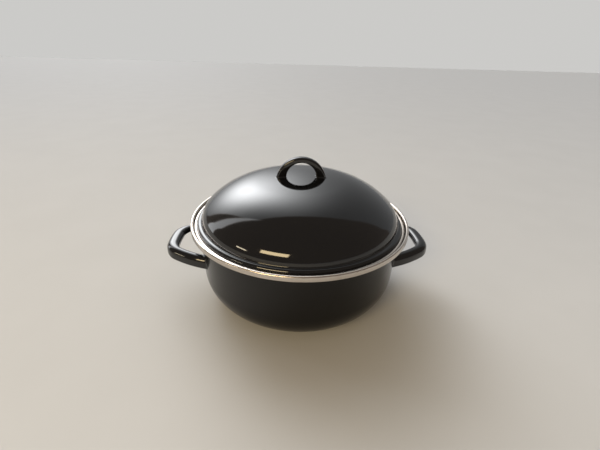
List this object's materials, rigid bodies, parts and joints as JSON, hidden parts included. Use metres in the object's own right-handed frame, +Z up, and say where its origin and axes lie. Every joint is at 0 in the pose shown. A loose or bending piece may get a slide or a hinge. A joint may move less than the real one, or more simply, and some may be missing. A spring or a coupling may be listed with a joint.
{
  "type": "dutch oven",
  "caption": "Black enamelled dutch oven: round pan with bow handles at both sides, domed lid with an arched handle, steel bands crimped round the rims",
  "frame": {"origin": "centre of the ring that the pan stands on", "axes": "+Z up from the base to the lid handle, +X through the two side handles, +Y away from the viewer"},
  "size_m": [0.3252, 0.26, 0.1736],
  "materials": {
    "enamel_satin": "satin black vitreous enamel on sheet steel",
    "enamel_gloss": "glossy black vitreous enamel on sheet steel",
    "rim_steel": "polished stainless strip with fine turning lines"
  },
  "bodies": {
    "root": {"pan": "enamel_satin", "pan_rim_band": "rim_steel", "pan_handle_left": "enamel_gloss", "pan_handle_right": "enamel_gloss", "lid": "enamel_gloss", "lid_rim_band": "rim_steel", "lid_handle": "enamel_gloss"}
  },
  "joints": []
}
